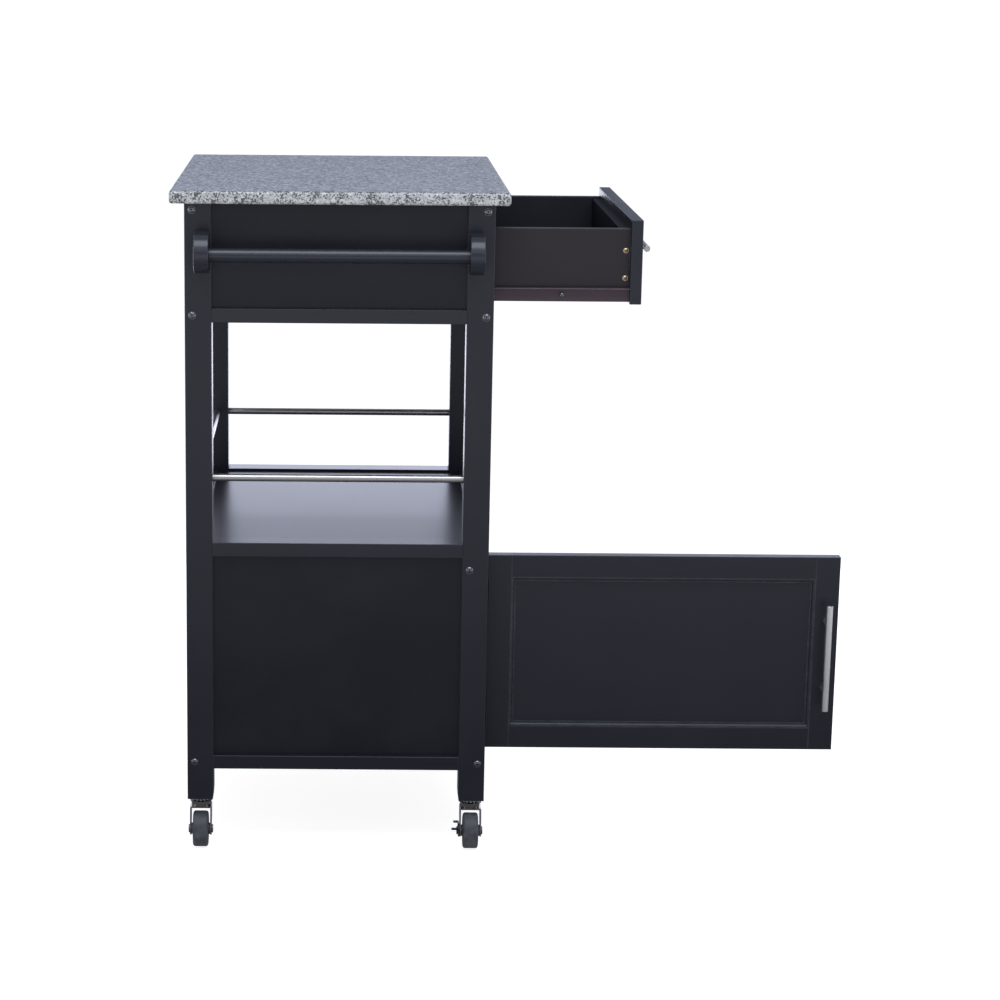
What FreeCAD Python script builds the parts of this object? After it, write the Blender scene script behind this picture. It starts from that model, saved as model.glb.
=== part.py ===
import FreeCAD, Part
import math
import os

# Kitchen island cart: a granite worktop on a black wooden frame with a drawer, an open
# shelf with a gallery of steel rods, a cabinet with one side-hung door and four casters.
#
# Millimetres. X runs along the length and the towel bar is at -X, the front faces -Y and
# Z rises from the floor. Pieces are drawn about the middle of the frame, with the door and
# the drawer shut. They are then opened to their rest pose, and everything is moved so that
# the origin lies on the floor under the middle of the whole object's box.

V = FreeCAD.Vector
ALONG_X = V(1, 0, 0)
ALONG_Y = V(0, 1, 0)
ALONG_Z = V(0, 0, 1)
LEFT, RIGHT = -1, 1
FRONT, BACK = -1, 1

# Worktop
HEIGHT = 911.5
TOP_LENGTH = 600.0
TOP_DEPTH = 450.0
TOP_THICK = 17.0
TOP_CORNER = 4.5
TOP_ARRIS = 4.0

# Frame of four square legs
FRAME_LENGTH = 562.0
FRAME_DEPTH = 412.0
LEG = 36.0
LEG_FOOT = 69.5
LEG_ARRIS = 1.5
FOOT_TAPER = 0.8
FOOT_TAPER_TALL = 10.0

# Rails: all are the same height, and each is named by what it carries
RAIL_TALL = 19.0
RAIL_DEEP = 20.0
BOTTOM_RAIL_Z = 114.0
SHELF_RAIL_Z = 416.0
DRAWER_RAIL_Z = 735.5
ARRIS = 0.8

# Panels and boards
PANEL_RECESS = 7.0
END_PANEL_THICK = 9.0
BACK_PANEL_THICK = 6.0
BOARD_DROP = 3.5
CLEAT = 15.0
CLEAT_LENGTH = 300.0

# Rail behind the top of the door
STOP_THICK = 15.0
STOP_TALL = 34.0

# Gallery rods over the shelf
ROD_R = 5.0
ROD_Z = 522.0
ROD_SOCKET = 10.0

# Towel bar
BAR_R = 9.3
BAR_Z = 829.5
BAR_STAND = 37.0
BRACKET_R = 26.0
BRACKET_Z = 832.0
BRACKET_WIDE = 19.8
BRACKET_MID_Y = 181.0
BRACKET_ARRIS = 1.6
BAR_SOCKET = 10.0

# Connector bolts through the legs into the rails
BOLT_R = 3.0
BOLT_HEAD_R = 5.0
BOLT_HEAD_DEEP = 2.5
BOLT_PROUD = 0.5
BOLT_GRIP = 22.0
SOCKET_ACROSS = 5.0
SOCKET_DEEP = 2.0
NUT_R = 5.0
NUT_TALL = 13.0

# Drawer
DRAWER_TRAVEL = 200.0
DRAWER_FRONT_LENGTH = 484.0
DRAWER_FRONT_Z = (758.5, 871.5)
DRAWER_FRONT_THICK = 16.0
DRAWER_BOX_HALF = 232.0
DRAWER_BOX_DEEP = 350.0
DRAWER_BOARD = 12.0
DRAWER_SIDE_Z = (762.2, 859.3)
INNER_FRONT_DROP = 3.0
DRAWER_BOTTOM_Z = 771.5
DRAWER_BOTTOM_THICK = 4.0
GROOVE = 5.0
SCREW_R = 2.0
SCREW_HEAD_R = 3.6
SCREW_LENGTH = 18.0
SCREW_PROUD = 0.8
DRAWER_SCREW_Z = (793.0, 830.0)

# Roller slides, one each side
SLIDE_SHEET = 1.2
SLIDE_TRACK = 8.8
SLIDE_LOW_Z = 758.5
SLIDE_HIGH_Z = 783.5
RUNNER_TOP_Z = 780.0
RUNNER_LIP = 10.0
ROLLER_R = 8.5
ROLLER_WIDE = 7.0
ROLLER_GAP = 0.3
ROLLER_AXLE_R = 2.0
FRONT_ROLLER_IN = 28.0
BACK_ROLLER_IN = 12.0

# Door
DOOR_LENGTH = 485.0
DOOR_Z = (136.8, 412.3)
DOOR_THICK = 18.0
STILE_WIDE = 33.0
DOOR_RAIL_WIDE = 31.0
DOOR_PANEL_THICK = 6.0
DOOR_PANEL_RECESS = 6.0
DOOR_GROOVE = 8.0
BEAD = 6.0
DOOR_OPEN_DEG = 90.0

# Butt hinges of the door
HINGE_TALL = 45.0
HINGE_IN = 55.0
LEAF_THICK = 1.1
LEAF_DEEP = 15.0
KNUCKLE_R = 2.6
PIN_R = 1.2
KNUCKLE_RELIEF = 0.4

# Bar pulls of the door and the drawer
PULL_LENGTH = 150.0
PULL_SPAN = 96.0
PULL_R = 4.5
PULL_POST_R = 4.0
PULL_STAND = 24.0
PULL_FROM_EDGE = 16.5

# Magnetic catch
CATCH = (40.0, 26.0, 19.0)
CATCH_FROM_MIDDLE = 180.0
STRIKE = (34.0, 1.5, 14.0)

# Casters
WHEEL_R = 25.0
WHEEL_HALF = 10.5
WHEEL_SHOULDER = 3.5
HUB_R = 8.0
HUB_HALF = 12.8
CASTER_TRAIL = 12.0
FORK_HALF = 15.0
FORK_SHEET = 1.8
CROWN_Z = 55.0
CUP_R = 15.3
CUP_TOP_Z = 64.3
DRUM_R = 12.9
STEM_R = 4.0
STEM_TOP_Z = 99.5
RACE_R = 13.5
RACE_UNDER_Z = 67.6
BALL_R = 1.5
BALL_RING_R = 11.3
BALLS = 14
RIVET_R = 6.5
AXLE_R = 3.0
AXLE_HEAD_R = 6.0
AXLE_HEAD = 2.0
INSERT_R = 6.0
INSERT_DEEP = 32.0
FIT = 0.05
LEVER_THICK = 1.6
LEVER_R = 9.0
LEVER_REACH = 22.0

# Worked out from the sizes above
TOP_UNDER = HEIGHT - TOP_THICK
HALF_X = FRAME_LENGTH / 2
HALF_Y = FRAME_DEPTH / 2
INNER_X = HALF_X - LEG
INNER_Y = HALF_Y - LEG
LEG_MID_X = HALF_X - LEG / 2
LEG_MID_Y = HALF_Y - LEG / 2
TOP_RAIL_Z = TOP_UNDER - RAIL_TALL
RAIL_MID_Y = HALF_Y - RAIL_DEEP / 2
STOP_FRONT_Y = DOOR_THICK + 0.5 - HALF_Y
STOP_MID_Y = STOP_FRONT_Y + STOP_THICK / 2
STOP_Z = SHELF_RAIL_Z - STOP_TALL
HINGE_X = -DOOR_LENGTH / 2 - 1.25
HINGE_Y = -HALF_Y
DOOR_MID_Z = sum(DOOR_Z) / 2
FRONT_ROLLER_Y = -HALF_Y + FRONT_ROLLER_IN
FRONT_ROLLER_Z = RUNNER_TOP_Z - SLIDE_SHEET - ROLLER_GAP - ROLLER_R
BACK_ROLLER_Y = -HALF_Y + DRAWER_FRONT_THICK + DRAWER_BOX_DEEP - BACK_ROLLER_IN
BACK_ROLLER_Z = SLIDE_LOW_Z + SLIDE_SHEET + ROLLER_GAP + ROLLER_R
BOX_MIDDLE_X = (TOP_LENGTH / 2 - HALF_X - BAR_STAND - BRACKET_R) / 2
BOX_MIDDLE_Y = (HINGE_Y - (DOOR_LENGTH / 2 - HINGE_X) + TOP_DEPTH / 2) / 2


# ---------------------------------------------------------------- drawing helpers

def block(x, y, z):
    """A box between two values on each axis, given in any order."""
    low = V(min(x), min(y), min(z))
    high = V(max(x), max(y), max(z))
    size = high - low
    return Part.makeBox(size.x, size.y, size.z, low)


def cylinder(radius, start, direction, length):
    return Part.makeCylinder(radius, length, start, direction)


def straight_edges(shape, direction):
    """The straight edges of a shape that run along a direction."""
    found = []
    for edge in shape.Edges:
        if edge.Curve.TypeId != "Part::GeomLine":
            continue
        if abs(edge.tangentAt(edge.FirstParameter).dot(direction)) > 0.999:
            found.append(edge)
    return found


def level_edges(shape, z):
    """The edges of a shape that lie at one height."""
    box = [(edge, edge.BoundBox) for edge in shape.Edges]
    return [e for e, b in box if abs(b.ZMin - z) < 0.01 and abs(b.ZMax - z) < 0.01]


def eased(shape, direction, radius=ARRIS):
    """Round a board's long edges."""
    return shape.makeFillet(radius, straight_edges(shape, direction))


def prism(points, start, vector):
    """Extrude a closed outline of points by a vector, after moving it by start."""
    wire = Part.makePolygon([p + start for p in points] + [points[0] + start])
    return Part.Face(wire).extrude(vector)


def cut_all(shape, tools):
    for tool in tools:
        shape = shape.cut(tool)
    return shape


def fuse_all(shapes):
    whole = shapes[0].multiFuse(shapes[1:])
    return whole.removeSplitter()


def group(shapes):
    return Part.makeCompound(shapes)


def spread(shape, *places):
    """Copies of a shape, each moved by a vector."""
    return [shape.translated(place) for place in places]


# ---------------------------------------------------------------- worktop and frame

def granite_top():
    slab = block((-TOP_LENGTH / 2, TOP_LENGTH / 2), (-TOP_DEPTH / 2, TOP_DEPTH / 2),
                 (TOP_UNDER, HEIGHT))
    slab = slab.makeFillet(TOP_CORNER, straight_edges(slab, ALONG_Z))
    arris = level_edges(slab, HEIGHT) + level_edges(slab, TOP_UNDER)
    return slab.makeFillet(TOP_ARRIS, arris)


def foot_wedge(side_x, side_y, across):
    """The sliver that tapers one inner face of a leg at its foot."""
    inner = V(side_x * INNER_X, side_y * INNER_Y, LEG_FOOT)
    outward = V(side_x, 0, 0) if across == ALONG_Y else V(0, side_y, 0)
    run = V(0, side_y * LEG, 0) if across == ALONG_Y else V(side_x * LEG, 0, 0)
    corner = [V(0, 0, 0), outward * FOOT_TAPER, ALONG_Z * FOOT_TAPER_TALL]
    return prism(corner, inner, run)


def leg(side_x, side_y, holes):
    post = block((side_x * INNER_X, side_x * HALF_X), (side_y * INNER_Y, side_y * HALF_Y),
                 (LEG_FOOT, TOP_UNDER))
    post = eased(post, ALONG_Z, LEG_ARRIS)
    post = post.cut(foot_wedge(side_x, side_y, ALONG_X))
    post = post.cut(foot_wedge(side_x, side_y, ALONG_Y))
    return cut_all(post, holes)


def end_rail(side_x, z):
    rail = block((side_x * INNER_X, side_x * HALF_X), (-INNER_Y, INNER_Y),
                 (z, z + RAIL_TALL))
    return eased(rail, ALONG_Y)


def cross_rail(side_y, z, holes):
    """A rail along the front or the back, between the legs."""
    rail = block((-INNER_X, INNER_X), (side_y * HALF_Y, side_y * (HALF_Y - RAIL_DEEP)),
                 (z, z + RAIL_TALL))
    return cut_all(eased(rail, ALONG_X), holes)


def door_stop_rail(holes):
    rail = block((-INNER_X, INNER_X), (STOP_FRONT_Y, STOP_FRONT_Y + STOP_THICK),
                 (STOP_Z, SHELF_RAIL_Z))
    return cut_all(rail, holes)


def end_panel(side_x, low, high):
    face = HALF_X - PANEL_RECESS
    return block((side_x * face, side_x * (face - END_PANEL_THICK)), (-INNER_Y, INNER_Y),
                 (low, high))


def back_panel(low, high):
    face = HALF_Y - PANEL_RECESS
    return block((-INNER_X, INNER_X), (face - BACK_PANEL_THICK, face), (low, high))


def board(rail_z):
    """A shelf board that lies inside the ring of rails, a little under their tops."""
    inside = HALF_Y - RAIL_DEEP
    return block((-INNER_X, INNER_X), (-inside, inside),
                 (rail_z, rail_z + RAIL_TALL - BOARD_DROP))


def top_cleats():
    """Strips screwed inside the end panels, which hold the worktop down."""
    face = HALF_X - PANEL_RECESS - END_PANEL_THICK
    return [block((side * face, side * (face - CLEAT)),
                  (-CLEAT_LENGTH / 2, CLEAT_LENGTH / 2), (TOP_UNDER - CLEAT, TOP_UNDER))
            for side in (LEFT, RIGHT)]


# ---------------------------------------------------------------- bolts and nuts

def bolt_places():
    """Side, y and z of each bolt: four rails behind, four in front and the door stop."""
    places = []
    for side_x in (LEFT, RIGHT):
        for side_y in (FRONT, BACK):
            for rail_z in (BOTTOM_RAIL_Z, DRAWER_RAIL_Z, TOP_RAIL_Z):
                places.append((side_x, side_y * RAIL_MID_Y, rail_z + RAIL_TALL / 2))
        places.append((side_x, STOP_MID_Y, STOP_Z + STOP_TALL / 2))
    return places


def bolt_space(side_x, y, z):
    """The counterbored hole that a bolt fills."""
    face = side_x * HALF_X
    inward = V(-side_x, 0, 0)
    head = cylinder(BOLT_HEAD_R, V(face + side_x * BOLT_PROUD, y, z), inward,
                    BOLT_HEAD_DEEP + BOLT_PROUD)
    shank = cylinder(BOLT_R, V(face, y, z), inward, LEG + BOLT_GRIP)
    return fuse_all([head, shank])


def frame_bolt(side_x, y, z):
    bolt = bolt_space(side_x, y, z)
    outer = side_x * (HALF_X + BOLT_PROUD)
    corners = []
    for turn in range(6):
        angle = math.radians(60 * turn)
        reach = SOCKET_ACROSS / math.sqrt(3)
        corners.append(V(0, reach * math.cos(angle), reach * math.sin(angle)))
    return bolt.cut(prism(corners, V(outer, y, z), V(-side_x * SOCKET_DEEP, 0, 0)))


def nut_centre(side_x, y, z):
    return V(side_x * (INNER_X - BOLT_GRIP + NUT_R), y, z)


def nut_space(side_x, y, z):
    """The cross hole for a barrel nut, open under the rail."""
    depth = STOP_TALL if y == STOP_MID_Y else RAIL_TALL
    low = nut_centre(side_x, y, z) - ALONG_Z * depth / 2
    return cylinder(NUT_R, low, ALONG_Z, (depth + NUT_TALL) / 2)


def barrel_nut(side_x, y, z):
    low = nut_centre(side_x, y, z) - ALONG_Z * NUT_TALL / 2
    nut = cylinder(NUT_R, low, ALONG_Z, NUT_TALL)
    return nut.cut(bolt_space(side_x, y, z))


# ---------------------------------------------------------------- gallery and towel bar

def gallery_rods():
    reach_y = INNER_Y + ROD_SOCKET
    reach_x = INNER_X + ROD_SOCKET
    rods = [cylinder(ROD_R, V(side * LEG_MID_X, -reach_y, ROD_Z), ALONG_Y, 2 * reach_y)
            for side in (LEFT, RIGHT)]
    rods.append(cylinder(ROD_R, V(-reach_x, LEG_MID_Y, ROD_Z), ALONG_X, 2 * reach_x))
    return rods


def towel_bar():
    reach = BRACKET_MID_Y - BRACKET_WIDE / 2 + BAR_SOCKET
    return cylinder(BAR_R, V(-HALF_X - BAR_STAND, -reach, BAR_Z), ALONG_Y, 2 * reach)


def towel_bracket(side_y):
    """A block with a round nose that holds one end of the bar."""
    face = -HALF_X
    nose = face - BAR_STAND
    top = BRACKET_Z + BRACKET_R
    low = BRACKET_Z - BRACKET_R
    y = side_y * BRACKET_MID_Y - BRACKET_WIDE / 2
    outline = Part.Wire([
        Part.LineSegment(V(nose, y, low), V(face, y, low)).toShape(),
        Part.LineSegment(V(face, y, low), V(face, y, top)).toShape(),
        Part.LineSegment(V(face, y, top), V(nose, y, top)).toShape(),
        Part.Arc(V(nose, y, top), V(nose - BRACKET_R, y, BRACKET_Z), V(nose, y, low)).toShape(),
    ])
    solid = Part.Face(outline).extrude(V(0, BRACKET_WIDE, 0))
    rims = [edge for edge in solid.Edges
            if edge.BoundBox.YLength < 0.01 and edge.BoundBox.XMin < face - 0.1]
    return solid.makeFillet(BRACKET_ARRIS, rims).cut(towel_bar())


# ---------------------------------------------------------------- drawer, drawn shut

def drawer_front():
    half = DRAWER_FRONT_LENGTH / 2
    front = block((-half, half), (-HALF_Y, DRAWER_FRONT_THICK - HALF_Y), DRAWER_FRONT_Z)
    return front.makeFillet(1.2, front.Edges)


def drawer_depths():
    """Where the box starts behind the front, and where it ends."""
    start = DRAWER_FRONT_THICK - HALF_Y
    return start, start + DRAWER_BOX_DEEP


def drawer_side(side_x):
    start, end = drawer_depths()
    side = block((side_x * DRAWER_BOX_HALF, side_x * (DRAWER_BOX_HALF - DRAWER_BOARD)),
                 (start, end), DRAWER_SIDE_Z)
    side = side.makeFillet(1.0, level_edges(side, DRAWER_SIDE_Z[1]))
    return cut_all(side, [drawer_bottom()] + drawer_screws())


def drawer_cross_board(start, drop):
    """The inner front or the back of the drawer box, its top so far below the sides' top."""
    half = DRAWER_BOX_HALF - DRAWER_BOARD
    cross = block((-half, half), (start, start + DRAWER_BOARD),
                  (DRAWER_SIDE_Z[0], DRAWER_SIDE_Z[1] - drop))
    return cut_all(cross, [drawer_bottom()] + drawer_screws())


def drawer_bottom():
    start, end = drawer_depths()
    half = DRAWER_BOX_HALF - DRAWER_BOARD + GROOVE
    inset = DRAWER_BOARD - GROOVE
    return block((-half, half), (start + inset, end - inset),
                 (DRAWER_BOTTOM_Z, DRAWER_BOTTOM_Z + DRAWER_BOTTOM_THICK))


def drawer_screws():
    """Screws through the sides into the inner front and the back."""
    start, end = drawer_depths()
    screws = []
    for side in (LEFT, RIGHT):
        inward = V(-side, 0, 0)
        for y in (start + DRAWER_BOARD / 2, end - DRAWER_BOARD / 2):
            for z in DRAWER_SCREW_Z:
                face = V(side * DRAWER_BOX_HALF, y, z)
                head = cylinder(SCREW_HEAD_R, face - inward * SCREW_PROUD, inward,
                                2 * SCREW_PROUD)
                head = head.makeFillet(SCREW_PROUD * 0.6, head.Edges[0:1])
                shank = cylinder(SCREW_R, face, inward, SCREW_LENGTH)
                screws.append(fuse_all([head, shank]))
    return screws


def bar_pull(middle, along, outward):
    """A bar on two posts; middle is the point on the face between the posts."""
    axis = middle + outward * PULL_STAND
    bar = cylinder(PULL_R, axis - along * PULL_LENGTH / 2, along, PULL_LENGTH)
    bar = bar.makeFillet(0.6, [e for e in bar.Edges if e.isClosed()])
    posts = spread(cylinder(PULL_POST_R, middle, outward, PULL_STAND),
                   along * (-PULL_SPAN / 2), along * (PULL_SPAN / 2))
    return fuse_all([bar] + posts)


def drawer_pull():
    return bar_pull(V(0, -HALF_Y, sum(DRAWER_FRONT_Z) / 2), ALONG_X, -ALONG_Y)


# ---------------------------------------------------------------- slides and rollers

def cabinet_slide(side_x):
    """The fixed channel on the legs, with the axle of its front roller."""
    web = INNER_X - SLIDE_SHEET
    lip = web - SLIDE_TRACK
    y = (RAIL_DEEP - HALF_Y, HALF_Y - RAIL_DEEP)
    sheets = [
        block((side_x * INNER_X, side_x * web), y, (SLIDE_LOW_Z, SLIDE_HIGH_Z)),
        block((side_x * web, side_x * lip), y, (SLIDE_LOW_Z, SLIDE_LOW_Z + SLIDE_SHEET)),
        block((side_x * web, side_x * lip), y, (SLIDE_HIGH_Z - SLIDE_SHEET, SLIDE_HIGH_Z)),
        cylinder(ROLLER_AXLE_R, V(side_x * web, FRONT_ROLLER_Y, FRONT_ROLLER_Z),
                 V(-side_x, 0, 0), SLIDE_TRACK),
    ]
    return fuse_all(sheets)


def drawer_slide(side_x):
    """The moving runner under a drawer side, with the axle of its back roller."""
    outer = DRAWER_BOX_HALF + SLIDE_SHEET
    under = DRAWER_SIDE_Z[0] - SLIDE_SHEET
    y = drawer_depths()
    sheets = [
        block((side_x * outer, side_x * DRAWER_BOX_HALF), y, (under, RUNNER_TOP_Z)),
        block((side_x * DRAWER_BOX_HALF, side_x * (DRAWER_BOX_HALF - RUNNER_LIP)), y,
              (under, DRAWER_SIDE_Z[0])),
        block((side_x * outer, side_x * (outer + SLIDE_TRACK)), y,
              (RUNNER_TOP_Z - SLIDE_SHEET, RUNNER_TOP_Z)),
        cylinder(ROLLER_AXLE_R, V(side_x * outer, BACK_ROLLER_Y, BACK_ROLLER_Z),
                 V(side_x, 0, 0), SLIDE_TRACK),
    ]
    return cut_all(fuse_all(sheets), drawer_screws())


def roller(side_x, y, z):
    """A nylon roller in the middle of a slide's track."""
    middle = INNER_X - SLIDE_SHEET - SLIDE_TRACK / 2
    start = V(side_x * middle - ROLLER_WIDE / 2, y, z)
    wheel = cylinder(ROLLER_R, start, ALONG_X, ROLLER_WIDE)
    wheel = wheel.makeFillet(0.8, [e for e in wheel.Edges if e.isClosed()])
    return wheel.cut(cylinder(ROLLER_AXLE_R + FIT, start, ALONG_X, ROLLER_WIDE))


def rollers(y, z):
    return [roller(side, y, z) for side in (LEFT, RIGHT)]


# ---------------------------------------------------------------- door, drawn shut

def door_panel():
    half = DOOR_LENGTH / 2 - STILE_WIDE + DOOR_GROOVE
    inset = DOOR_RAIL_WIDE - DOOR_GROOVE
    front = -HALF_Y + DOOR_PANEL_RECESS
    return block((-half, half), (front, front + DOOR_PANEL_THICK),
                 (DOOR_Z[0] + inset, DOOR_Z[1] - inset))


def door_outer_edges(part):
    """The edges round the outside of the shut door, which are rounded."""
    half = DOOR_LENGTH / 2
    found = []
    for edge in part.Edges:
        box = edge.BoundBox
        at_side = box.XLength < 0.01 and abs(abs(box.XMin) - half) < 0.01
        at_end = box.ZLength < 0.01 and min(abs(box.ZMin - z) for z in DOOR_Z) < 0.01
        if (at_side or at_end) and box.YLength < 0.01:
            found.append(edge)
    return found


def door_stiles():
    half = DOOR_LENGTH / 2
    stiles = []
    for side in (LEFT, RIGHT):
        stile = block((side * half, side * (half - STILE_WIDE)),
                      (-HALF_Y, DOOR_THICK - HALF_Y), DOOR_Z)
        stile = stile.makeFillet(1.0, door_outer_edges(stile))
        stiles.append(stile.cut(door_panel()))
    return [cut_all(stiles[0], hinge_reliefs()), stiles[1]]


def door_rails():
    half = DOOR_LENGTH / 2 - STILE_WIDE
    rails = []
    for low in (DOOR_Z[0], DOOR_Z[1] - DOOR_RAIL_WIDE):
        rail = block((-half, half), (-HALF_Y, DOOR_THICK - HALF_Y),
                     (low, low + DOOR_RAIL_WIDE))
        rail = rail.makeFillet(1.0, door_outer_edges(rail))
        rails.append(rail.cut(door_panel()))
    return rails


def bead_strip(length):
    """A mitred bead along X with a coved face; its outer edge lies on the X axis."""
    step = 1.2
    front = DOOR_PANEL_RECESS
    top = [V(-length / 2, 0, 0), V(length / 2, 0, 0), V(length / 2 - BEAD, 0, BEAD),
           V(BEAD - length / 2, 0, BEAD)]
    mitred = prism(top, V(0, 0, 0), V(0, front, 0))
    scoop = Part.Wire([
        Part.LineSegment(V(0, 0, step), V(0, -1, step)).toShape(),
        Part.LineSegment(V(0, -1, step), V(0, -1, BEAD + 1)).toShape(),
        Part.LineSegment(V(0, -1, BEAD + 1), V(0, front - step, BEAD + 1)).toShape(),
        Part.LineSegment(V(0, front - step, BEAD + 1), V(0, front - step, BEAD)).toShape(),
        Part.Arc(V(0, front - step, BEAD), V(0, 1.3, BEAD - 1.6), V(0, 0.9, step)).toShape(),
        Part.LineSegment(V(0, 0.9, step), V(0, 0, step)).toShape(),
    ])
    scoop = Part.Face(scoop).extrude(V(length, 0, 0)).translated(V(-length / 2, 0, 0))
    return mitred.cut(scoop)


def door_beads():
    """Four mitred beads round the panel, from the frame's face down to the panel."""
    wide = DOOR_LENGTH - 2 * STILE_WIDE
    tall = DOOR_Z[1] - DOOR_Z[0] - 2 * DOOR_RAIL_WIDE
    beads = []
    for turn, length, reach in ((0, wide, tall), (90, tall, wide), (180, wide, tall),
                                (270, tall, wide)):
        bead = bead_strip(length).translated(V(0, 0, -reach / 2))
        bead.rotate(V(0, 0, 0), ALONG_Y, turn)
        beads.append(bead.translated(V(0, -HALF_Y, DOOR_MID_Z)))
    return beads


def door_pull():
    x = DOOR_LENGTH / 2 - PULL_FROM_EDGE
    return bar_pull(V(x, -HALF_Y, DOOR_MID_Z), ALONG_Z, -ALONG_Y)


def strike_plate():
    long, thick, tall = STRIKE
    x = CATCH_FROM_MIDDLE
    back = DOOR_THICK - HALF_Y
    top = STOP_Z - 2
    return block((x - long / 2, x + long / 2), (back, back + thick), (top - tall, top))


def magnetic_catch():
    long, deep, tall = CATCH
    x = CATCH_FROM_MIDDLE
    front = STOP_FRONT_Y + STRIKE[1]
    return block((x - long / 2, x + long / 2), (front, front + deep), (STOP_Z - tall, STOP_Z))


# ---------------------------------------------------------------- hinges

def hinge_places():
    return [DOOR_Z[0] + HINGE_IN, DOOR_Z[1] - HINGE_IN]


def knuckle_column(radius, low, high):
    return cylinder(radius, V(HINGE_X, HINGE_Y, low), ALONG_Z, high - low)


def hinge_reliefs():
    """The notches that the knuckles need in the leg and in the door."""
    reach = HINGE_TALL / 2 + KNUCKLE_RELIEF
    return [knuckle_column(KNUCKLE_R + KNUCKLE_RELIEF, z - reach, z + reach)
            for z in hinge_places()]


def hinge_leaf(outer_x, inner_x, z):
    """A hinge leaf in the gap between the leg and the door."""
    half = HINGE_TALL / 2
    return block((outer_x, inner_x), (HINGE_Y, HINGE_Y + LEAF_DEEP), (z - half, z + half))


def frame_leaves():
    """The leaves on the leg: two outer knuckles each, with the pin riveted in."""
    leaves = []
    third = HINGE_TALL / 6
    half = HINGE_TALL / 2
    for z in hinge_places():
        leaf = hinge_leaf(-INNER_X, LEAF_THICK - INNER_X, z)
        leaf = leaf.cut(knuckle_column(KNUCKLE_R + KNUCKLE_RELIEF, z - third, z + third))
        leaves.append(fuse_all([
            leaf,
            knuckle_column(KNUCKLE_R, z - half, z - third - ROLLER_GAP),
            knuckle_column(KNUCKLE_R, z + third + ROLLER_GAP, z + half),
            knuckle_column(PIN_R, z - half, z + half),
        ]))
    return leaves


def door_leaves():
    """The leaves on the door: one middle knuckle each, which turns on the pin."""
    leaves = []
    third = HINGE_TALL / 6
    half = HINGE_TALL / 2
    edge = -DOOR_LENGTH / 2
    relief = KNUCKLE_R + KNUCKLE_RELIEF
    for z in hinge_places():
        leaf = hinge_leaf(edge, edge - LEAF_THICK, z)
        leaf = leaf.cut(knuckle_column(relief, z - half, z - third))
        leaf = leaf.cut(knuckle_column(relief, z + third, z + half))
        leaf = leaf.fuse(knuckle_column(KNUCKLE_R, z - third, z + third))
        leaves.append(leaf.cut(knuckle_column(PIN_R + FIT, z - third, z + third)))
    return leaves


# ---------------------------------------------------------------- casters
# Each is drawn with its stem on the Z axis and its wheel trailing towards -X.

AXLE = V(-CASTER_TRAIL, 0, WHEEL_R)


def caster_places():
    places = {}
    for name_y, side_y in (("front", FRONT), ("back", BACK)):
        for name_x, side_x in (("left", LEFT), ("right", RIGHT)):
            places[name_y + "_" + name_x] = V(side_x * LEG_MID_X, side_y * LEG_MID_Y, 0)
    return places


def leg_insert():
    """The threaded sleeve in the foot of a leg."""
    sleeve = cylinder(INSERT_R, V(0, 0, LEG_FOOT), ALONG_Z, INSERT_DEEP)
    return sleeve.cut(cylinder(STEM_R, V(0, 0, LEG_FOOT), ALONG_Z, INSERT_DEEP))


def insert_space():
    return cylinder(INSERT_R, V(0, 0, LEG_FOOT), ALONG_Z, INSERT_DEEP)


def caster_stem():
    """The screwed stem with its top race, riveted under the fork's crown."""
    rivet_z = CROWN_Z - ROLLER_GAP
    return fuse_all([
        cylinder(STEM_R, V(0, 0, rivet_z), ALONG_Z, STEM_TOP_Z - rivet_z),
        cylinder(RACE_R, V(0, 0, RACE_UNDER_Z), ALONG_Z, LEG_FOOT - RACE_UNDER_Z),
        cylinder(RIVET_R, V(0, 0, rivet_z - 1.5), ALONG_Z, 1.5),
    ])


def ball_ring():
    balls = []
    for index in range(BALLS):
        angle = 2 * math.pi * index / BALLS
        centre = V(BALL_RING_R * math.cos(angle), BALL_RING_R * math.sin(angle),
                   RACE_UNDER_Z - BALL_R)
        balls.append(Part.makeSphere(BALL_R, centre))
    return balls


def fork_cheek(y):
    """One side plate of the fork, from the crown down to the axle."""
    def on_boss(degrees):
        angle = math.radians(degrees)
        return AXLE + V(LEVER_R * math.cos(angle), y, LEVER_R * math.sin(angle))

    top_back = V(-14, y, CROWN_Z + 2)
    top_front = V(12, y, CROWN_Z + 2)
    outline = Part.Wire([
        Part.LineSegment(top_back, top_front).toShape(),
        Part.LineSegment(top_front, on_boss(12)).toShape(),
        Part.Arc(on_boss(12), on_boss(-90), on_boss(175)).toShape(),
        Part.LineSegment(on_boss(175), top_back).toShape(),
    ])
    return Part.Face(outline).extrude(V(0, FORK_SHEET, 0))


def caster_fork():
    drum_top = CUP_TOP_Z - 1.2
    crown = block((-14, 12), (-FORK_HALF, FORK_HALF), (CROWN_Z, CROWN_Z + 2))
    cheeks = [fork_cheek(-FORK_HALF), fork_cheek(FORK_HALF - FORK_SHEET)]
    pressed = fuse_all([crown] + cheeks)
    bends = [e for e in level_edges(pressed, CROWN_Z + 2)
             if e.BoundBox.YLength < 0.01 and e.BoundBox.XLength > CUP_R]
    pressed = pressed.makeFillet(1.6, bends)
    fork = fuse_all([
        pressed,
        Part.makeCone(DRUM_R, RACE_R, drum_top - CROWN_Z, V(0, 0, CROWN_Z)),
        cylinder(CUP_R, V(0, 0, drum_top), ALONG_Z, CUP_TOP_Z - drum_top),
    ])
    fork = fork.cut(cylinder(STEM_R + FIT, V(0, 0, CROWN_Z), ALONG_Z, CUP_TOP_Z - CROWN_Z))
    return fork.cut(cylinder(AXLE_R, AXLE - ALONG_Y * FORK_HALF, ALONG_Y, 2 * FORK_HALF))


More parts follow.
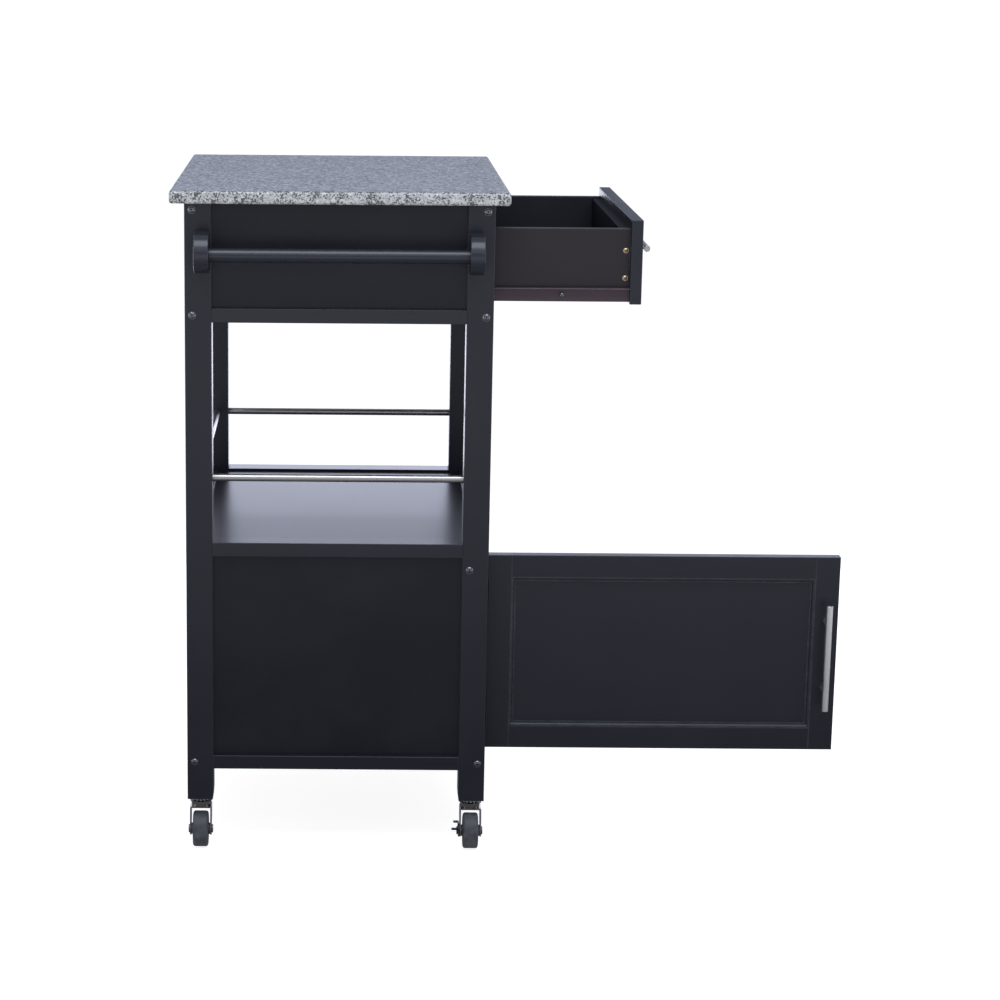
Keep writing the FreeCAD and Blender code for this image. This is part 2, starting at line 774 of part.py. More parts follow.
def caster_axle(braked):
    """The riveted axle; a braked caster's is longer, to carry the lever as well."""
    inner = FORK_HALF + (LEVER_THICK + 2 * ROLLER_GAP if braked else 0)
    start = AXLE - ALONG_Y * FORK_HALF
    heads = [
        cylinder(AXLE_HEAD_R, start, -ALONG_Y, AXLE_HEAD),
        cylinder(AXLE_HEAD_R, AXLE + ALONG_Y * inner, ALONG_Y, AXLE_HEAD),
    ]
    heads = [h.makeFillet(0.9, [e for e in h.Edges if e.isClosed()]) for h in heads]
    return fuse_all([cylinder(AXLE_R, start, ALONG_Y, FORK_HALF + inner)] + heads)


def caster_wheel():
    tread = cylinder(WHEEL_R, AXLE - ALONG_Y * WHEEL_HALF, ALONG_Y, 2 * WHEEL_HALF)
    tread = tread.makeFillet(WHEEL_SHOULDER, [e for e in tread.Edges if e.isClosed()])
    hub = cylinder(HUB_R, AXLE - ALONG_Y * HUB_HALF, ALONG_Y, 2 * HUB_HALF)
    bore = cylinder(AXLE_R + FIT, AXLE - ALONG_Y * HUB_HALF, ALONG_Y, 2 * HUB_HALF)
    return fuse_all([tread, hub]).cut(bore)


def brake_lever():
    """A rocker beside the fork, with a tab to press at each end."""
    inner = FORK_HALF + ROLLER_GAP
    outer = inner + LEVER_THICK
    tab = 6.0
    rocker = V(0, inner, 0) + AXLE
    tips = [V(-LEVER_REACH, 0, 3), V(-LEVER_REACH, 0, 9), V(LEVER_REACH, 0, 7),
            V(LEVER_REACH, 0, 1), V(6, 0, -5), V(-6, 0, -5)]
    lever = fuse_all([
        cylinder(LEVER_R, rocker, ALONG_Y, LEVER_THICK),
        prism(tips, rocker, V(0, LEVER_THICK, 0)),
        block((AXLE.x - LEVER_REACH, AXLE.x - LEVER_REACH + tab), (outer, outer + 10),
              (AXLE.z + 7.4, AXLE.z + 9)),
        block((AXLE.x + LEVER_REACH - tab, AXLE.x + LEVER_REACH), (outer, outer + 6),
              (AXLE.z + 5.4, AXLE.z + 7)),
    ])
    return lever.cut(cylinder(AXLE_R + FIT, rocker, ALONG_Y, LEVER_THICK))


# ---------------------------------------------------------------- whole object

def frame_nodes():
    places = bolt_places()
    bolt_holes = [bolt_space(*place) for place in places]
    rail_holes = bolt_holes + [nut_space(*place) for place in places]
    rods = gallery_rods()
    inserts = [insert_space().translated(place) for place in caster_places().values()]
    leg_holes = bolt_holes + rods + inserts
    nodes = {"granite_top": granite_top()}
    for name, place in caster_places().items():
        side_x = RIGHT if place.x > 0 else LEFT
        side_y = BACK if place.y > 0 else FRONT
        notches = hinge_reliefs() if name == "front_left" else []
        nodes["leg_" + name] = leg(side_x, side_y, leg_holes + notches)
    for name, side in (("left", LEFT), ("right", RIGHT)):
        levels = (BOTTOM_RAIL_Z, SHELF_RAIL_Z, DRAWER_RAIL_Z)
        nodes["end_rails_" + name] = group([end_rail(side, z) for z in levels])
    for name, z in (("bottom", BOTTOM_RAIL_Z), ("shelf", SHELF_RAIL_Z),
                    ("drawer", DRAWER_RAIL_Z), ("top", TOP_RAIL_Z)):
        nodes[name + "_rail_front"] = cross_rail(FRONT, z, rail_holes)
    levels = (BOTTOM_RAIL_Z, SHELF_RAIL_Z, DRAWER_RAIL_Z, TOP_RAIL_Z)
    nodes["back_rails"] = group([cross_rail(BACK, z, rail_holes) for z in levels])
    nodes["door_stop_rail"] = door_stop_rail(rail_holes)
    low_z = (BOTTOM_RAIL_Z + RAIL_TALL, SHELF_RAIL_Z)
    nodes["lower_end_panels"] = group([end_panel(s, *low_z) for s in (LEFT, RIGHT)])
    high_z = (DRAWER_RAIL_Z + RAIL_TALL, TOP_UNDER)
    nodes["upper_end_panels"] = group([end_panel(s, *high_z) for s in (LEFT, RIGHT)])
    nodes["lower_back_panel"] = back_panel(*low_z)
    nodes["upper_back_panel"] = back_panel(high_z[0], TOP_RAIL_Z)
    nodes["shelf_board"] = board(SHELF_RAIL_Z)
    nodes["cabinet_floor"] = board(BOTTOM_RAIL_Z)
    nodes["top_cleats"] = group(top_cleats())
    nodes["frame_bolts"] = group([frame_bolt(*place) for place in places])
    nodes["barrel_nuts"] = group([barrel_nut(*place) for place in places])
    nodes["gallery_rods"] = group(rods)
    nodes["towel_bar"] = towel_bar()
    nodes["towel_brackets"] = group([towel_bracket(side) for side in (FRONT, BACK)])
    nodes["magnetic_catch"] = magnetic_catch()
    nodes["cabinet_slides"] = group([cabinet_slide(side) for side in (LEFT, RIGHT)])
    nodes["front_rollers"] = group(rollers(FRONT_ROLLER_Y, FRONT_ROLLER_Z))
    nodes["hinge_frame_leaves"] = group(frame_leaves())
    return nodes


def drawer_nodes():
    start, end = drawer_depths()
    return {
        "drawer_front": drawer_front(),
        "drawer_inner_front": drawer_cross_board(start, INNER_FRONT_DROP),
        "drawer_back": drawer_cross_board(end - DRAWER_BOARD, 0),
        "drawer_side_left": drawer_side(LEFT),
        "drawer_side_right": drawer_side(RIGHT),
        "drawer_bottom": drawer_bottom(),
        "drawer_screws": group(drawer_screws()),
        "drawer_slides": group([drawer_slide(side) for side in (LEFT, RIGHT)]),
        "back_rollers": group(rollers(BACK_ROLLER_Y, BACK_ROLLER_Z)),
        "drawer_pull": drawer_pull(),
    }


def door_nodes():
    return {
        "door_stiles": group(door_stiles()),
        "door_rails": group(door_rails()),
        "door_panel": door_panel(),
        "door_beads": group(door_beads()),
        "door_pull": door_pull(),
        "strike_plate": strike_plate(),
        "hinge_door_leaves": group(door_leaves()),
    }


def caster_nodes():
    places = caster_places()
    stands = places.values()
    nodes = {
        "leg_inserts": group(spread(leg_insert(), *stands)),
        "caster_stems": group(spread(caster_stem(), *stands)),
        "caster_balls": group([b.translated(p) for p in stands for b in ball_ring()]),
    }
    for name, place in places.items():
        braked = name.startswith("front")
        fork = group([caster_fork(), caster_axle(braked)])
        nodes["caster_fork_" + name] = fork.translated(place)
        nodes["caster_wheel_" + name] = caster_wheel().translated(place)
        if braked:
            nodes["brake_lever_" + name.split("_")[1]] = brake_lever().translated(place)
    return nodes


def write(nodes):
    """Move each node so that the origin is under the middle of the box, and save it."""
    os.makedirs("parts", exist_ok=True)
    for name, shape in nodes.items():
        moved = shape.translated(V(-BOX_MIDDLE_X, -BOX_MIDDLE_Y, 0))
        moved.exportStep("parts/" + name + ".step")


def main():
    nodes = frame_nodes()
    nodes.update(caster_nodes())
    for name, shape in drawer_nodes().items():
        nodes[name] = shape.translated(V(0, -DRAWER_TRAVEL, 0))
    for name, shape in door_nodes().items():
        shape.rotate(V(HINGE_X, HINGE_Y, 0), ALONG_Z, -DOOR_OPEN_DEG)
        nodes[name] = shape
    write(nodes)


main()
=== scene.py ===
import math

import bmesh
import bpy
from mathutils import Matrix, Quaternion, Vector


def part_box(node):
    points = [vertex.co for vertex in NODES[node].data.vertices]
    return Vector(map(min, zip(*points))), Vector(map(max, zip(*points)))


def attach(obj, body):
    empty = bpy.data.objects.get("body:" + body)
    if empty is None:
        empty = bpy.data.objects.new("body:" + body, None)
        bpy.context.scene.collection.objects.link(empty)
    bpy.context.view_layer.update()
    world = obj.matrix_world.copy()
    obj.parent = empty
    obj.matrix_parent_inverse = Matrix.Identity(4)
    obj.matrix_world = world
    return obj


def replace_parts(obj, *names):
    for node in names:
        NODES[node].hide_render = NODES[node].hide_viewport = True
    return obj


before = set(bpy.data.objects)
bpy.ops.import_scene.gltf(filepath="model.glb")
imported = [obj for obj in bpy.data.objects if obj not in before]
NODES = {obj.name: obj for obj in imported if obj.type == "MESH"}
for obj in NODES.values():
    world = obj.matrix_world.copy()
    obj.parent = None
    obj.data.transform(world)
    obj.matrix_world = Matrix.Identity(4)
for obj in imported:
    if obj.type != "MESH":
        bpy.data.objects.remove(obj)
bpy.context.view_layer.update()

# ---------------------------------------------------------------- camera, lights and floor

CAMERA_AT = Vector((-3.87049, 0.229295, 1.245148))
CAMERA_DOWN = 0.24111
CAMERA_ROLL = 0.00744
CAMERA_LENS = 98.03
CAMERA_SHIFT = (0.1597, 0.0994)
FLOOR_REACH = 60.0
REFLECTION_CARD_REACH = 3.0
HORIZON = (0.345, 0.37, 0.48, 1)
OVERHEAD = (0.40, 0.44, 0.52, 1)
FLOOR_GLOW = 0.86
# Colours of the painted floor reflection, close to the cart and further off.
REFLECTION_SHADE_NEAR = (0.20, 0.205, 0.235, 1)
REFLECTION_SHADE_FAR = (0.93, 0.95, 1.0, 1)
REFLECTION_CARD_SIDES = 64
# Name, place, aim, size, watts and colour of each softbox.
SOFTBOXES = (
    ("top_softbox", (-1.3, 0.0, 3.0), (-0.5, 0, 0.5), (2.8, 1.6), 62.0, (0.90, 0.95, 1.0)),
    ("end_softbox", (-2.7, -0.2, 2.2), (0, 0, 0.7), (2.4, 1.2), 8.0, (0.97, 0.98, 1.0)),
    ("left_softbox", (-0.4, 3.0, 1.3), (0, 0, 0.6), (1.8, 1.4), 18.0, (1.0, 1.0, 1.0)),
    ("right_softbox", (-0.4, -3.3, 1.3), (0, 0, 0.6), (1.8, 1.4), 18.0, (1.0, 1.0, 1.0)),
    ("back_reflector", (1.5, 0.0, 0.43), (0, 0, 0.43), (3.6, 0.82), 21.0, (0.78, 0.82, 1.0)))


def make_camera():
    """The camera faces the towel-bar end, a little from above."""
    data = bpy.data.cameras.new("cart_camera")
    data.sensor_width = 36.0
    data.lens = CAMERA_LENS
    data.shift_x, data.shift_y = CAMERA_SHIFT
    data.clip_end = 200.0
    camera = bpy.data.objects.new("cart_camera", data)
    bpy.context.scene.collection.objects.link(camera)
    ahead = Vector((math.cos(CAMERA_DOWN), 0.0, -math.sin(CAMERA_DOWN)))
    camera.rotation_mode = "QUATERNION"
    camera.rotation_quaternion = ahead.to_track_quat("-Z", "Y") @ Quaternion((0, 0, 1), CAMERA_ROLL)
    camera.location = CAMERA_AT
    bpy.context.scene.camera = camera


def softbox(name, at, aim, size, power, colour):
    """A large soft lamp that isn't seen itself."""
    data = bpy.data.lights.new(name, "AREA")
    data.shape = "RECTANGLE"
    data.size, data.size_y = size
    data.energy = power
    data.color = colour
    lamp = bpy.data.objects.new(name, data)
    lamp.location = at
    lamp.rotation_euler = (Vector(aim) - Vector(at)).to_track_quat("-Z", "Y").to_euler()
    lamp.visible_camera = False
    bpy.context.scene.collection.objects.link(lamp)


def make_world():
    """Even pale light, a little brighter towards the horizon."""
    world = bpy.data.worlds.new("pale_studio")
    world.use_nodes = True
    bpy.context.scene.world = world
    tree = world.node_tree
    upward = node(tree, "ShaderNodeSeparateXYZ", {
        "Vector": node(tree, "ShaderNodeTexCoord").outputs["Generated"]}).outputs["Z"]
    shade = mix_colour(tree, remap(tree, upward, 0.15, 0.75, 0.0, 1.0), HORIZON, OVERHEAD)
    tree.links.new(shade, tree.nodes["Background"].inputs["Color"])


def flat_sheet(name, corners, material):
    """A flat sheet of the studio, which isn't part of the cart."""
    mesh = bpy.data.meshes.new(name)
    mesh.from_pydata(corners, [], [tuple(range(len(corners)))])
    mesh.materials.append(material)
    sheet = bpy.data.objects.new(name, mesh)
    bpy.context.scene.collection.objects.link(sheet)
    return sheet


def make_studio():
    """A pale room: even light from all round, softboxes and a plain floor."""
    bpy.context.scene.view_settings.view_transform = "Standard"
    make_world()
    for lamp in SOFTBOXES:
        softbox(*lamp)
    reach = FLOOR_REACH
    square = [(-reach, -reach, 0), (reach, -reach, 0), (reach, reach, 0), (-reach, reach, 0)]
    flat_sheet("studio_floor", square, pale_floor())
    # A glowing card, hidden from the camera, from diffuse light and from shadows, paints a darker floor
    # into the cart's reflections: painted reflection and shade.
    turns = [math.tau * i / REFLECTION_CARD_SIDES for i in range(REFLECTION_CARD_SIDES)]
    rim = [(REFLECTION_CARD_REACH * math.cos(t), REFLECTION_CARD_REACH * math.sin(t), 0.001) for t in turns]
    card = flat_sheet("painted_floor_reflection", rim, painted_floor_reflection())
    for ray in ("camera", "diffuse", "shadow", "transmission", "volume_scatter"):
        setattr(card, "visible_" + ray, False)


# ---------------------------------------------------------------- node tree helpers


def fill_sockets(tree, made, sockets):
    """Links a node's inputs, or sets their values."""
    for key, value in sockets.items():
        if isinstance(value, bpy.types.NodeSocket):
            tree.links.new(value, made.inputs[key])
        else:
            made.inputs[key].default_value = value


def node(tree, kind, sockets=None, **settings):
    """A node of that kind, with its sockets set or linked."""
    made = tree.nodes.new(kind)
    for name, value in settings.items():
        setattr(made, name, value)
    fill_sockets(tree, made, sockets or {})
    return made


def remap(tree, value, low, high, to_low, to_high):
    """value from low..high to to_low..to_high, clamped."""
    made = node(tree, "ShaderNodeMapRange", {
        "Value": value, "From Min": low, "From Max": high, "To Min": to_low, "To Max": to_high})
    return made.outputs["Result"]


def mix_colour(tree, share, first, second):
    """first at share 0 and second at share 1."""
    made = node(tree, "ShaderNodeMix", {0: share, 6: first, 7: second}, data_type="RGBA")
    return made.outputs[2]


def calculate(tree, operation, first, second):
    """One sum of two numbers."""
    return node(tree, "ShaderNodeMath", {0: first, 1: second}, operation=operation).outputs[0]


def noise(tree, at, scale, detail=3.0, roughness=0.5):
    """Smooth noise, 0 to 1, of so many lumps a metre."""
    made = node(tree, "ShaderNodeTexNoise", {
        "Vector": at, "Scale": scale, "Detail": detail, "Roughness": roughness})
    return made.outputs[0]


def stretched(tree, scale):
    """Object coordinates, stretched along an axis."""
    where = node(tree, "ShaderNodeTexCoord").outputs["Object"]
    return node(tree, "ShaderNodeMapping", {"Vector": where, "Scale": scale}).outputs[0]


def new_group(name, inputs, outputs):
    """An empty shader group: the tree, what comes in and what goes out."""
    tree = bpy.data.node_groups.new(name, "ShaderNodeTree")
    for label, kind, value in inputs:
        socket = tree.interface.new_socket(label, in_out="INPUT", socket_type="NodeSocket" + kind)
        if value is not None:
            socket.default_value = value
    for label, kind in outputs:
        tree.interface.new_socket(label, in_out="OUTPUT", socket_type="NodeSocket" + kind)
    return tree, node(tree, "NodeGroupInput").outputs, node(tree, "NodeGroupOutput").inputs


def place_group(tree, group, sockets):
    """A group, placed in a material with its own values."""
    made = tree.nodes.new("ShaderNodeGroup")
    made.node_tree = group
    fill_sockets(tree, made, sockets)
    return made.outputs


# ---------------------------------------------------------------- shared effects


def make_flecks():
    """Scattered specks: a share of small cells, each with a dot in the middle."""
    tree, given, out = new_group(
        "flecks",
        [("Vector", "Vector", None), ("Scale", "Float", 400.0),
         ("Share", "Float", 0.05), ("Size", "Float", 0.3)],
        [("Mask", "Float")])
    cell = node(tree, "ShaderNodeTexVoronoi", {"Vector": given["Vector"], "Scale": given["Scale"]})
    dot = remap(tree, cell.outputs["Distance"], given["Size"], 0.0, 0.0, 1.0)
    pick = node(tree, "ShaderNodeSeparateColor", {"Color": cell.outputs["Color"]}).outputs["Red"]
    chosen = calculate(tree, "LESS_THAN", pick, given["Share"])
    tree.links.new(calculate(tree, "MULTIPLY", dot, chosen), out["Mask"])
    return tree


def make_arris():
    """Edges of a piece, as a mask for a painted highlight along them, broken up by patches of noise."""
    tree, given, out = new_group(
        "arris", [("Radius", "Float", 0.001), ("Breakup", "Float", 0.5)], [("Mask", "Float")])
    soft = node(tree, "ShaderNodeBevel", {"Radius": given["Radius"]}, samples=4).outputs["Normal"]
    flat = node(tree, "ShaderNodeNewGeometry").outputs["Normal"]
    along = node(tree, "ShaderNodeVectorMath", {0: soft, 1: flat}, operation="DOT_PRODUCT").outputs["Value"]
    turn = remap(tree, along, 0.995, 0.80, 0.0, 1.0)
    where = node(tree, "ShaderNodeTexCoord").outputs["Object"]
    patchy = remap(tree, noise(tree, where, 45.0, 4.0), 0.35, 0.65, 0.0, 1.0)
    # Patches of noise leave gaps in the painted highlight.
    highlight_gaps = calculate(tree, "MULTIPLY", remap(tree, patchy, 0.0, 1.0, 1.0, 0.0), given["Breakup"])
    tree.links.new(calculate(tree, "MULTIPLY", turn, calculate(tree, "SUBTRACT", 1.0, highlight_gaps)), out["Mask"])
    return tree


def make_sprayed_lacquer():
    """Sprayed satin lacquer over wood: faint long grain, orange peel, handling marks and dust."""
    tree, given, out = new_group(
        "sprayed_lacquer",
        [("Along", "Vector", None), ("Colour", "Color", None), ("Marked", "Color", None),
         ("Gloss", "Float", 0.35), ("Grain", "Float", 0.4), ("Uneven", "Float", 1.0)],
        [("Colour", "Color"), ("Roughness", "Float"), ("Height", "Float")])
    where = node(tree, "ShaderNodeTexCoord").outputs["Object"]
    cloud = noise(tree, where, 7.0, 4.0, 0.6)
    peel = noise(tree, where, 650.0, 2.0)
    pores = noise(tree, given["Along"], 1.0, 4.0, 0.6)
    specks = place_group(tree, FLECKS, {
        "Vector": where, "Scale": 330.0, "Share": 0.012, "Size": 0.33})["Mask"]
    marks = calculate(tree, "MULTIPLY", remap(tree, cloud, 0.42, 0.72, 0.0, 1.0), 0.55)
    tint = mix_colour(tree, calculate(tree, "MAXIMUM", marks, specks), given["Colour"], given["Marked"])
    tree.links.new(tint, out["Colour"])
    varied = calculate(
        tree, "ADD", remap(tree, cloud, 0.3, 0.7, -0.03, 0.05), remap(tree, pores, 0.3, 0.7, -0.02, 0.02))
    change = calculate(tree, "MULTIPLY", varied, given["Uneven"])
    tree.links.new(calculate(tree, "ADD", given["Gloss"], change), out["Roughness"])
    ridges = calculate(tree, "MULTIPLY", pores, given["Grain"])
    height = calculate(tree, "ADD", calculate(tree, "MULTIPLY", peel, 0.25), ridges)
    tree.links.new(calculate(tree, "MULTIPLY", height, given["Uneven"]), out["Height"])
    return tree


def make_brushing():
    """Fine scratches of brushed metal along one axis, with a slow change of gloss."""
    tree, given, out = new_group(
        "brushing",
        [("Along", "Vector", None), ("Colour", "Color", None),
         ("Dark", "Color", None), ("Gloss", "Float", 0.25)],
        [("Colour", "Color"), ("Roughness", "Float"), ("Height", "Float")])
    where = node(tree, "ShaderNodeTexCoord").outputs["Object"]
    lines = noise(tree, given["Along"], 1.0, 5.0, 0.7)
    cloud = noise(tree, where, 30.0, 3.0)
    scratched = remap(tree, lines, 0.3, 0.7, 0.0, 0.6)
    tree.links.new(mix_colour(tree, scratched, given["Colour"], given["Dark"]), out["Colour"])
    rough = calculate(tree, "ADD", given["Gloss"], remap(tree, lines, 0.3, 0.7, -0.04, 0.08))
    slow = remap(tree, cloud, 0.35, 0.65, -0.03, 0.05)
    tree.links.new(calculate(tree, "ADD", rough, slow), out["Roughness"])
    tree.links.new(lines, out["Height"])
    return tree


def make_moulded():
    """Moulded rubber or plastic: fine texture with scuffs and specks of dust."""
    tree, given, out = new_group(
        "moulded",
        [("Colour", "Color", None), ("Scuffed", "Color", None),
         ("Gloss", "Float", 0.5), ("Scale", "Float", 900.0)],
        [("Colour", "Color"), ("Roughness", "Float"), ("Height", "Float")])
    where = node(tree, "ShaderNodeTexCoord").outputs["Object"]
    fine = noise(tree, where, given["Scale"])
    cloud = noise(tree, where, 70.0, 5.0, 0.65)
    specks = place_group(tree, FLECKS, {
        "Vector": where, "Scale": 500.0, "Share": 0.05, "Size": 0.35})["Mask"]
    scuffs = calculate(tree, "MAXIMUM", remap(tree, cloud, 0.48, 0.75, 0.0, 0.8), specks)
    tree.links.new(mix_colour(tree, scuffs, given["Colour"], given["Scuffed"]), out["Colour"])
    rubbed = remap(tree, cloud, 0.3, 0.7, -0.06, 0.1)
    tree.links.new(calculate(tree, "ADD", given["Gloss"], rubbed), out["Roughness"])
    tree.links.new(fine, out["Height"])
    return tree


FLECKS = make_flecks()
ARRIS = make_arris()
LACQUER = make_sprayed_lacquer()
BRUSHING = make_brushing()
MOULDED = make_moulded()


# ---------------------------------------------------------------- materials

# Painted highlight along the edges of the lacquered pieces.
PAINTED_EDGE_HIGHLIGHT = (0.045, 0.050, 0.062, 1)
LACQUER_TINT = (0.88, 0.89, 0.965, 1)
ARRIS_RADIUS = 0.0016
ARRIS_BREAKUP = 0.6
# Lumps a metre in painted wood, across its grain and along it.
ACROSS_GRAIN = 160.0
ALONG_GRAIN = 5.0
MICA = (0.045, 0.047, 0.051, 1)


def new_material(name, **shader):
    """A material with its Principled shader, and constant values on the shader's own sockets."""
    made = bpy.data.materials.new(name)
    made.use_nodes = True
    tree = made.node_tree
    face = tree.nodes["Principled BSDF"]
    for key, value in shader.items():
        face.inputs[key.replace("_", " ")].default_value = value
    return made, tree, face


def link_surface(tree, face, effect, bump, height):
    """Takes colour, roughness and height from a placed group to the shader."""
    tree.links.new(effect["Colour"], face.inputs["Base Color"])
    tree.links.new(effect["Roughness"], face.inputs["Roughness"])
    raised = node(tree, "ShaderNodeBump", {
        "Strength": bump, "Distance": height, "Height": effect["Height"]})
    tree.links.new(raised.outputs["Normal"], face.inputs["Normal"])


def pale_floor():
    """A plain pale floor that glows a little, so that shadows stay soft."""
    made, tree, face = new_material("pale_floor", Roughness=0.9, Specular_IOR_Level=0.2)
    where = node(tree, "ShaderNodeTexCoord").outputs["Object"]
    shade = mix_colour(tree, noise(tree, where, 1.5), (0.39, 0.388, 0.385, 1), (0.41, 0.408, 0.405, 1))
    tree.links.new(shade, face.inputs["Base Color"])
    face.inputs["Emission Color"].default_value = (1.0, 0.99, 0.98, 1)
    face.inputs["Emission Strength"].default_value = FLOOR_GLOW
    return made


def painted_floor_reflection():
    """A painted reflection: a glowing card seen only by glossy rays, darker close by, so that the cart's
    lower faces mirror painted shade.
    """
    made, tree, face = new_material("painted_floor_reflection", Roughness=1.0, Specular_IOR_Level=0.0)
    face.inputs["Base Color"].default_value = (0, 0, 0, 1)
    where = node(tree, "ShaderNodeTexCoord").outputs["Object"]
    away = node(tree, "ShaderNodeVectorMath", {0: where}, operation="LENGTH").outputs["Value"]
    shade = mix_colour(tree, remap(tree, away, 0.9, 3.0, 0.0, 1.0), REFLECTION_SHADE_NEAR, REFLECTION_SHADE_FAR)
    tree.links.new(shade, face.inputs["Emission Color"])
    face.inputs["Emission Strength"].default_value = 1.0
    return made


def painted_wood(name, colour, marked, gloss, axis, grain=0.5, catch=PAINTED_EDGE_HIGHLIGHT, specular=0.5,
                 tint=LACQUER_TINT, uneven=1.0):
    """Lacquered wood whose grain runs along an axis, with a painted highlight in the colour catch along its
    edges.
    """
    made, tree, face = new_material(name)
    face.inputs["Specular IOR Level"].default_value = specular
    face.inputs["Specular Tint"].default_value = tint
    stretch = [ACROSS_GRAIN] * 3
    stretch["XYZ".index(axis)] = ALONG_GRAIN
    effect = place_group(tree, LACQUER, {
        "Along": stretched(tree, stretch), "Colour": colour, "Marked": marked,
        "Gloss": gloss, "Grain": grain, "Uneven": uneven})
    link_surface(tree, face, effect, 0.35, 0.00006)
    edge = place_group(tree, ARRIS, {"Radius": ARRIS_RADIUS, "Breakup": ARRIS_BREAKUP})["Mask"]
    # The edges are painted in the catch colour: painted highlight.
    tree.links.new(mix_colour(tree, edge, effect["Colour"], catch), face.inputs["Base Color"])
    return made


def metal(name, colour, dark, gloss, stretch, bump=0.2):
    """Metal, brushed along the axis that stretch leaves smooth."""
    made, tree, face = new_material(name, Metallic=1.0)
    effect = place_group(tree, BRUSHING, {
        "Along": stretched(tree, stretch), "Colour": colour, "Dark": dark, "Gloss": gloss})
    link_surface(tree, face, effect, bump, 0.00003)
    return made


def plastic(name, colour, scuffed, gloss, scale, bump=0.4):
    """Moulded rubber or plastic."""
    made, tree, face = new_material(name)
    effect = place_group(tree, MOULDED, {
        "Colour": colour, "Scuffed": scuffed, "Gloss": gloss, "Scale": scale})
    link_surface(tree, face, effect, bump, 0.00005)
    return made


def polished_granite():
    """Pale granite with soft dark mica. The polished top is painted deeper and bluer, as painted shade and
    reflection, and shows clouds more than grains.
    """
    made, tree, face = new_material("polished_granite")
    where = node(tree, "ShaderNodeTexCoord").outputs["Object"]
    grains = node(
        tree, "ShaderNodeTexVoronoi", {"Vector": where, "Scale": 380.0}, feature="SMOOTH_F1")
    parts = node(tree, "ShaderNodeSeparateColor", {"Color": grains.outputs["Color"]}).outputs
    pale = mix_colour(tree, parts["Red"], (0.27, 0.278, 0.282, 1), (0.555, 0.56, 0.555, 1))
    clump = noise(tree, where, 95.0, 2.0)
    mica = noise(tree, where, 400.0, 2.0, 0.5)
    reach = calculate(tree, "ADD", mica, remap(tree, clump, 0.32, 0.68, 0.11, -0.12))
    dark = remap(tree, reach, 0.38, 0.50, 0.95, 0.0)
    stone = mix_colour(tree, dark, pale, MICA)
    # The top, found by its facing, is glossier, and painted darker and bluer with clouds: painted shade and
    # reflection.
    upward = node(tree, "ShaderNodeSeparateXYZ", {
        "Vector": node(tree, "ShaderNodeNewGeometry").outputs["Normal"]}).outputs["Z"]
    polish_and_shade = remap(tree, upward, 0.5, 0.95, 0.0, 1.0)
    lumps = noise(tree, stretched(tree, (70.0, 190.0, 190.0)), 1.0, 4.0, 0.7)
    cloud = remap(tree, lumps, 0.38, 0.62, 0.0, 1.0)
    painted_top_shade = mix_colour(tree, cloud, (0.32, 0.335, 0.41, 1), (1.0, 1.0, 1.0, 1))
    deep = node(
        tree, "ShaderNodeMix", {0: 1.0, 6: stone, 7: painted_top_shade}, data_type="RGBA", blend_type="MULTIPLY")
    tree.links.new(mix_colour(tree, polish_and_shade, stone, deep.outputs[2]), face.inputs["Base Color"])
    dull = calculate(tree, "MULTIPLY", polish_and_shade, remap(tree, cloud, 0.0, 1.0, 0.10, 0.0))
    tree.links.new(
        calculate(tree, "ADD", remap(tree, polish_and_shade, 0.0, 1.0, 0.40, 0.13), dull), face.inputs["Roughness"])
    raised = node(tree, "ShaderNodeBump", {"Strength": 0.15, "Distance": 0.00002, "Height": parts["Red"]})
    tree.links.new(raised.outputs["Normal"], face.inputs["Normal"])
    return made


BLACK = (0.0048, 0.0058, 0.0095, 1)
PANEL_BLACK = (0.0030, 0.0034, 0.0056, 1)
BLACK_MARKED = (0.0080, 0.0090, 0.0135, 1)
# Painted highlight along the edges of the drawer's boards.
BOARD_EDGE_HIGHLIGHT = (0.07, 0.065, 0.075, 1)
